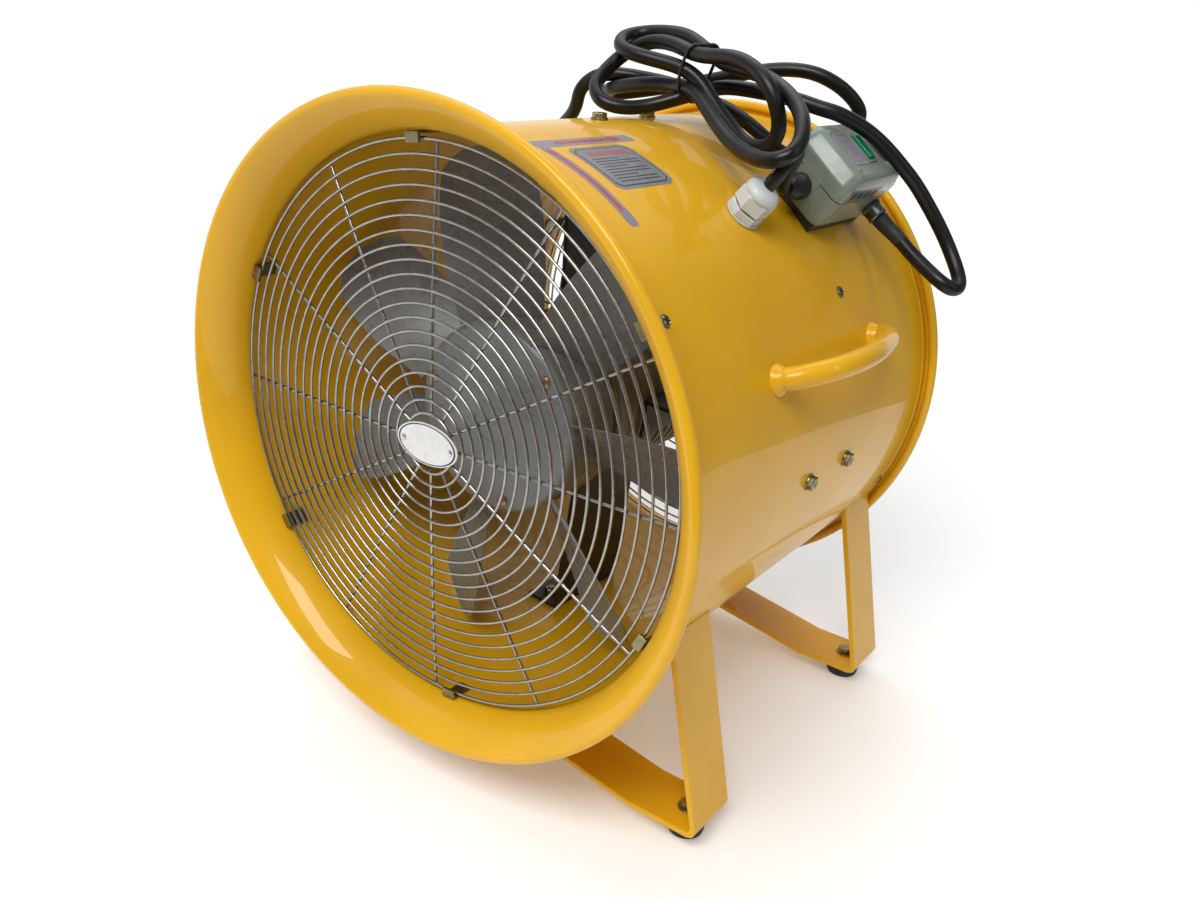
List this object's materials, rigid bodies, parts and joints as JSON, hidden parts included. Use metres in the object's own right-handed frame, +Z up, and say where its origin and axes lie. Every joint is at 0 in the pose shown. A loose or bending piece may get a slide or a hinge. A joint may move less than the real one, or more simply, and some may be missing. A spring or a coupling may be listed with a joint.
{
  "type": "portable axial extraction fan",
  "caption": "Portable bell-mouthed drum fan with wire guards, a bladed impeller on a strutted motor, strap legs, carrying handles, a switch box and a mains lead.",
  "frame": {"origin": "centre of the bounding box's base, on the floor, under the middle of the drum", "axes": "+Z up; the drum's axis is Y, with the bell mouth facing -Y and the outlet facing +Y; +X is to the right as one looks into the bell mouth from the front"},
  "size_m": [0.4997, 0.4254, 0.5612],
  "materials": {
    "yellow_paint": "gloss powder coat",
    "zinc_wire": "bright zinc plate",
    "chromate_zinc": "yellow chromate zinc plate",
    "grey_paint": "satin",
    "black_paint": "satin",
    "bare_steel": "turned or plated",
    "lamination": "stacked sheet",
    "black_rubber": "matt",
    "box_plastic": "moulded, slight gloss",
    "black_nylon": "moulded",
    "white_nylon": "moulded",
    "green_plastic": "moulded",
    "red_plastic": "moulded",
    "badge_white": "printed plate, left blank",
    "cord_sheath": "flexible sheath, slight sheen"
  },
  "bodies": {
    "frame_body": {"drum_shell": "yellow_paint", "bell_mouth": "yellow_paint", "rear_flange": "yellow_paint", "front_guard": "zinc_wire", "rear_guard": "zinc_wire", "guard_clip_1": "chromate_zinc", "guard_clip_2": "chromate_zinc", "guard_clip_3": "chromate_zinc", "guard_clip_4": "chromate_zinc", "guard_clip_5": "chromate_zinc", "guard_clip_6": "chromate_zinc", "badge_plate": "badge_white", "motor_strut_1": "black_paint", "motor_strut_2": "black_paint", "motor_strut_3": "black_paint", "motor_strut_4": "black_paint", "strut_bolt_1": "chromate_zinc", "strut_bolt_2": "chromate_zinc", "strut_bolt_3": "chromate_zinc", "strut_bolt_4": "chromate_zinc", "strut_bolt_5": "chromate_zinc", "strut_bolt_6": "chromate_zinc", "strut_bolt_7": "chromate_zinc", "strut_bolt_8": "chromate_zinc", "motor_casing": "grey_paint", "motor_front_shield": "grey_paint", "stator_core": "lamination", "front_bearing": "bare_steel", "rear_bearing": "bare_steel", "front_leg": "yellow_paint", "rear_leg": "yellow_paint", "foot_1": "black_rubber", "foot_2": "black_rubber", "foot_3": "black_rubber", "foot_4": "black_rubber", "handle_right": "yellow_paint", "handle_left": "yellow_paint", "switch_box_base": "box_plastic", "switch_box_lid": "box_plastic", "contactor": "black_nylon", "switch_box_pad": "black_rubber", "lead_strain_relief": "black_nylon", "mains_gland": "bare_steel", "lead_gland": "white_nylon", "motor_lead": "cord_sheath", "mains_cord": "cord_sheath", "mains_plug": "black_nylon"},
    "impeller": {"impeller_hub": "grey_paint", "blade_1": "grey_paint", "blade_2": "grey_paint", "blade_3": "grey_paint", "blade_4": "grey_paint", "blade_5": "grey_paint", "blade_6": "grey_paint", "blade_7": "grey_paint", "motor_shaft": "bare_steel", "rotor_core": "lamination"},
    "start": {"start_button": "green_plastic"},
    "stop": {"stop_button": "red_plastic"}
  },
  "joints": [
    {"name": "impeller_spin", "type": "hinge", "parent": "frame_body", "child": "impeller", "pos_m": [0, 0, 0.281], "axis": [0, 1, 0], "continuous": true},
    {"name": "start_press", "type": "slide", "parent": "frame_body", "child": "start", "axis": [-0.6361, 0, -0.7716], "range_m": [0, 0.003], "stiffness_N_per_m": 600},
    {"name": "stop_press", "type": "slide", "parent": "frame_body", "child": "stop", "axis": [-0.6361, 0, -0.7716], "range_m": [0, 0.003], "stiffness_N_per_m": 600}
  ]
}
